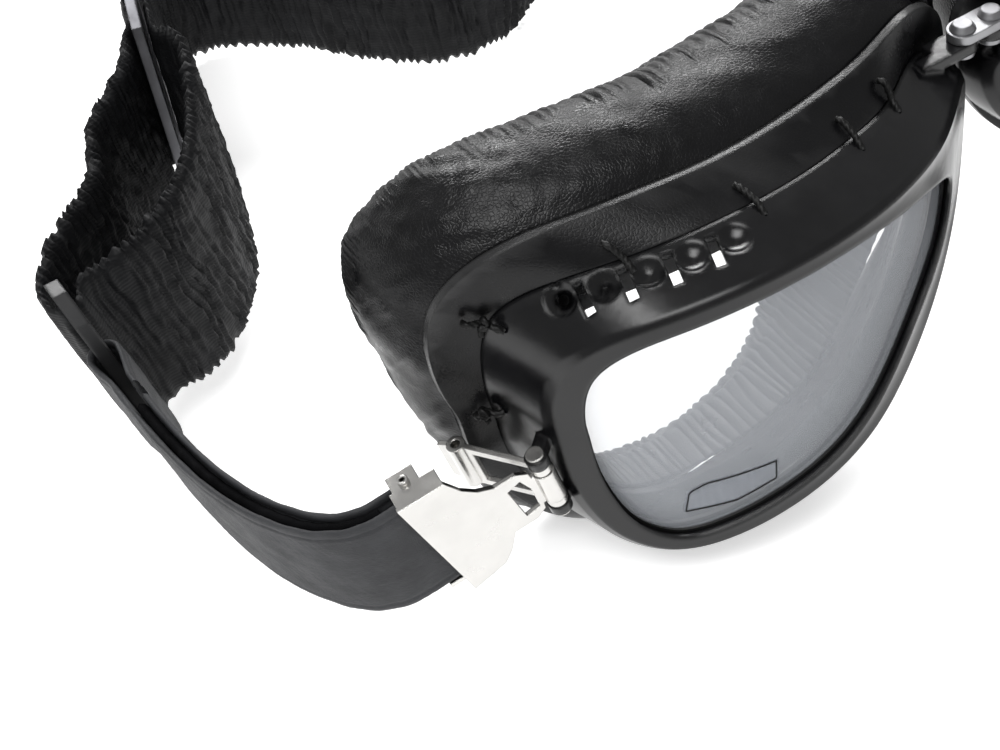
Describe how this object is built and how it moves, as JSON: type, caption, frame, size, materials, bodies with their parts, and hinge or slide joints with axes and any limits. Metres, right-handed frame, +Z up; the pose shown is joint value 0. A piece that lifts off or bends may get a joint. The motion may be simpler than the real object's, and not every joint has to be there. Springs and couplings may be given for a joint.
{
  "type": "motorcycle goggles",
  "caption": "Riding goggles with curved lenses in vented black metal frames, leather-covered padding, hinged nickel clasps and a gathered elastic strap with sliders.",
  "frame": {"origin": "on the ground, in the middle of the footprint, with x = 0 in the middle of the nose link", "axes": "+X to the wearer's left, -Y forward out of the lenses, +Z up"},
  "size_m": [0.2916, 0.1989, 0.0753],
  "materials": {
    "black_metal": "satin black enamel",
    "lens_glass": "clear, very slightly smoked",
    "black_rubber": "matte",
    "label_film": "thin blank film with a dark outline",
    "plate_leatherette": "smooth semi-gloss",
    "pad_leather": "fine-grained, gathered, semi-gloss",
    "foam": "open-cell",
    "waxed_cord": "waxed",
    "nickel": "polished nickel plate, lightly scratched",
    "grey_leather": "fine-grained charcoal",
    "felt": "pressed felt",
    "black_plastic": "moulded",
    "grey_metal": "dull",
    "elastic": "gathered ribbed elastic",
    "link_steel": "dull nickel"
  },
  "bodies": {
    "nose_link": {"elastic_strap": "elastic", "nose_link": "link_steel", "nose_rivets": "link_steel", "nose_leather": "pad_leather"},
    "right_eyecup": {"right_frame": "black_metal", "right_lens": "lens_glass", "right_lens_gasket": "black_rubber", "right_lens_label": "label_film", "right_backing_plate": "plate_leatherette", "right_pad_cover": "pad_leather", "right_pad_foam": "foam", "right_lacing": "waxed_cord", "right_clasp_pin": "nickel", "right_strap_ring": "black_plastic"},
    "right_clasp": {"right_clasp_plate": "nickel", "right_clasp_bar": "nickel", "right_strap_leather": "grey_leather", "right_strap_felt": "felt"},
    "right_lever": {"right_clasp_lever": "nickel"},
    "right_slider": {"right_strap_slider": "grey_metal"},
    "left_eyecup": {"left_frame": "black_metal", "left_lens": "lens_glass", "left_lens_gasket": "black_rubber", "left_lens_label": "label_film", "left_backing_plate": "plate_leatherette", "left_pad_cover": "pad_leather", "left_pad_foam": "foam", "left_lacing": "waxed_cord", "left_clasp_pin": "nickel", "left_strap_ring": "black_plastic"},
    "left_clasp": {"left_clasp_plate": "nickel", "left_clasp_bar": "nickel", "left_strap_leather": "grey_leather", "left_strap_felt": "felt"},
    "left_lever": {"left_clasp_lever": "nickel"},
    "left_slider": {"left_strap_slider": "grey_metal"}
  },
  "joints": [
    {"name": "right_nose_pivot", "type": "hinge", "parent": "nose_link", "child": "right_eyecup", "pos_m": [-0.0029, -0.0745, 0.0616], "axis": [0, 0, 1], "range_deg": [-6, 6], "deforming": ["elastic_strap", "nose_leather"]},
    {"name": "right_clasp_hinge", "type": "hinge", "parent": "right_eyecup", "child": "right_clasp", "pos_m": [-0.0937, -0.0837, 0.0275], "axis": [-0.2079, 0, 0.9781], "range_deg": [-8, 22], "deforming": ["right_strap_leather", "right_strap_felt"]},
    {"name": "right_lever_hinge", "type": "hinge", "parent": "right_eyecup", "child": "right_lever", "pos_m": [-0.0937, -0.0837, 0.0275], "axis": [-0.2079, 0, 0.9781], "range_deg": [0, 20]},
    {"name": "right_slider_slide", "type": "slide", "parent": "nose_link", "child": "right_slider", "axis": [0.33, 0.944, 0], "range_m": [-0.008, 0.008], "deforming": ["elastic_strap"]},
    {"name": "left_nose_pivot", "type": "hinge", "parent": "nose_link", "child": "left_eyecup", "pos_m": [0.0029, -0.0745, 0.0616], "axis": [0, 0, -1], "range_deg": [-6, 6], "deforming": ["elastic_strap", "nose_leather"]},
    {"name": "left_clasp_hinge", "type": "hinge", "parent": "left_eyecup", "child": "left_clasp", "pos_m": [0.0937, -0.0837, 0.0275], "axis": [-0.2079, 0, -0.9781], "range_deg": [-8, 22], "deforming": ["left_strap_leather", "left_strap_felt"]},
    {"name": "left_lever_hinge", "type": "hinge", "parent": "left_eyecup", "child": "left_lever", "pos_m": [0.0937, -0.0837, 0.0275], "axis": [-0.2079, 0, -0.9781], "range_deg": [0, 20]},
    {"name": "left_slider_slide", "type": "slide", "parent": "nose_link", "child": "left_slider", "axis": [-0.33, 0.944, 0], "range_m": [-0.008, 0.008], "deforming": ["elastic_strap"]}
  ]
}
